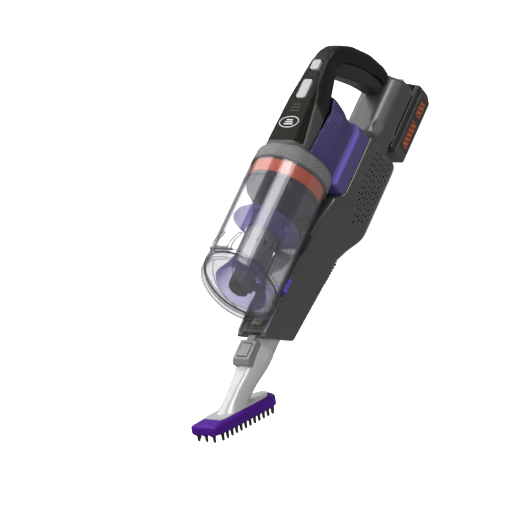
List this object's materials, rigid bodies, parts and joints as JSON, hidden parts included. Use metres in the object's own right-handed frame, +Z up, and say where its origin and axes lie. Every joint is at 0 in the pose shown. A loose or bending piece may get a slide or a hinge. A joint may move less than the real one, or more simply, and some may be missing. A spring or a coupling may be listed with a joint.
{
  "type": "cordless stick vacuum",
  "caption": "Hand unit of a cordless stick vacuum with clear dust bin, looped grip, slide-off battery and a plugged-in rubber-nub pet tool.",
  "frame": {"origin": "centre of the footprint at table height, below the middle of the whole box", "axes": "+X along the dust bin's axis towards the hand grip, -X towards the nose and tool, +Z up away from the table, buttons on the +Z side"},
  "size_m": [0.5964, 0.107, 0.2115],
  "materials": {
    "body_grey": "fine moulded texture, dark grey",
    "black_soft": "soft matt black overmould",
    "black_gloss": "polished near-black panel",
    "ring_grey": "mid grey with moulded grip texture",
    "purple_cover": "satin purple, fine ribs",
    "purple_bright": "bright purple, satin gloss",
    "purple_rubber": "moulded soft rubber, satin",
    "dark_rubber": "dark moulded rubber",
    "clear_bin": "clear polycarbonate",
    "purple_clear": "smoke purple translucent plastic",
    "orange": "orange plastic",
    "smoke_clear": "smoky clear plastic",
    "separator_grey": "dark grey",
    "filter_white": "pleated paper and fleece",
    "button_grey": "light grey buttons",
    "white_plastic": "glossy white to light grey",
    "latch_grey": "mid grey latch",
    "badge_white": "printed and raised outline",
    "lens": "smoked lens",
    "steel": "machined steel",
    "brass": "plated contact metal",
    "circuit_board": "green circuit board and black parts",
    "battery_case": "textured black",
    "battery_frame": "dark brown-grey",
    "label_orange": "orange label film",
    "cell_wrap": "shrink wrap on steel cells",
    "copper_steel": "laminated steel and copper"
  },
  "bodies": {
    "hand_unit": {"housing_left": "body_grey", "housing_right": "body_grey", "housing_screws": "steel", "ribbed_cover": "purple_cover", "top_shell": "black_soft", "control_panel": "black_gloss", "badge_outline": "badge_white", "indicator_bars": "lens", "display_window": "lens", "switch_board": "circuit_board", "grip_skin": "black_soft", "grip_core": "body_grey", "duct_shell": "body_grey", "contact_socket": "black_soft", "contact_pins": "brass", "rubber_pad": "dark_rubber", "inlet_collar": "dark_rubber", "bin_seat": "separator_grey", "bin_seal": "dark_rubber", "separator_flange": "orange", "separator_shroud": "separator_grey", "separator_funnel": "smoke_clear", "separator_vane": "purple_clear", "separator_skirt": "purple_clear", "separator_cap": "separator_grey", "pleated_filter": "filter_white", "filter_end_rings": "dark_rubber", "air_elbow": "separator_grey", "fan_shroud": "separator_grey", "motor_can": "steel", "stator": "copper_steel", "motor_bearings": "steel", "motor_mounts": "dark_rubber", "control_board": "circuit_board", "terminal_block": "brass"},
    "rotor": {"rotor_shaft": "steel", "rotor_core": "copper_steel", "impeller": "black_gloss"},
    "power_switch": {"power_button": "button_grey"},
    "boost_switch": {"boost_button": "button_grey"},
    "ring": {"lock_ring": "ring_grey"},
    "dust_bin": {"bin_shell": "clear_bin", "hinge_pin": "steel"},
    "lid": {"bin_lid": "clear_bin", "lid_seal": "dark_rubber"},
    "release": {"lid_release": "purple_bright"},
    "battery": {"battery_top": "battery_case", "battery_base": "battery_frame", "battery_labels": "label_orange", "battery_cells": "cell_wrap", "battery_board": "circuit_board"},
    "battery_catch": {"battery_button": "button_grey"},
    "pet_tool": {"tool_neck": "white_plastic", "tool_plate": "white_plastic", "tool_shoe": "purple_rubber", "tool_nubs": "dark_rubber", "tool_nubs_heel": "dark_rubber", "tool_latch_block": "latch_grey"},
    "tool_catch": {"tool_latch_button": "latch_grey"}
  },
  "joints": [
    {"name": "rotor_spin", "type": "hinge", "parent": "hand_unit", "child": "rotor", "pos_m": [0.1167, 0, 0.046], "axis": [1, 0, 0], "continuous": true},
    {"name": "power_press", "type": "slide", "parent": "hand_unit", "child": "power_switch", "axis": [0, 0, -1], "range_m": [0, 0.0012], "stiffness_N_per_m": 350, "springref_m": -0.001},
    {"name": "boost_press", "type": "slide", "parent": "hand_unit", "child": "boost_switch", "axis": [0, 0, -1], "range_m": [0, 0.0012], "stiffness_N_per_m": 350, "springref_m": -0.001},
    {"name": "ring_twist", "type": "hinge", "parent": "hand_unit", "child": "ring", "pos_m": [0.0677, 0, 0.15], "axis": [1, 0, 0], "range_deg": [0, 30]},
    {"name": "bin_pull_off", "type": "slide", "parent": "hand_unit", "child": "dust_bin", "axis": [-1, 0, 0], "range_m": [0, 0.12]},
    {"name": "lid_open", "type": "hinge", "parent": "dust_bin", "child": "lid", "pos_m": [-0.0908, 0, 0.2075], "axis": [0, 1, 0], "range_deg": [0, 95]},
    {"name": "release_pull", "type": "slide", "parent": "dust_bin", "child": "release", "axis": [1, 0, 0], "range_m": [0, 0.003], "stiffness_N_per_m": 300, "springref_m": -0.001},
    {"name": "battery_slide_off", "type": "slide", "parent": "hand_unit", "child": "battery", "axis": [1, 0, 0], "range_m": [0, 0.11]},
    {"name": "battery_catch_press", "type": "slide", "parent": "battery", "child": "battery_catch", "axis": [-1, 0, 0], "range_m": [0, 0.002], "stiffness_N_per_m": 350, "springref_m": -0.001},
    {"name": "tool_pull_off", "type": "slide", "parent": "hand_unit", "child": "pet_tool", "axis": [-1, 0, 0], "range_m": [0, 0.045]},
    {"name": "tool_catch_press", "type": "slide", "parent": "pet_tool", "child": "tool_catch", "axis": [0, 0, -1], "range_m": [0, 0.0013], "stiffness_N_per_m": 350, "springref_m": -0.001}
  ]
}
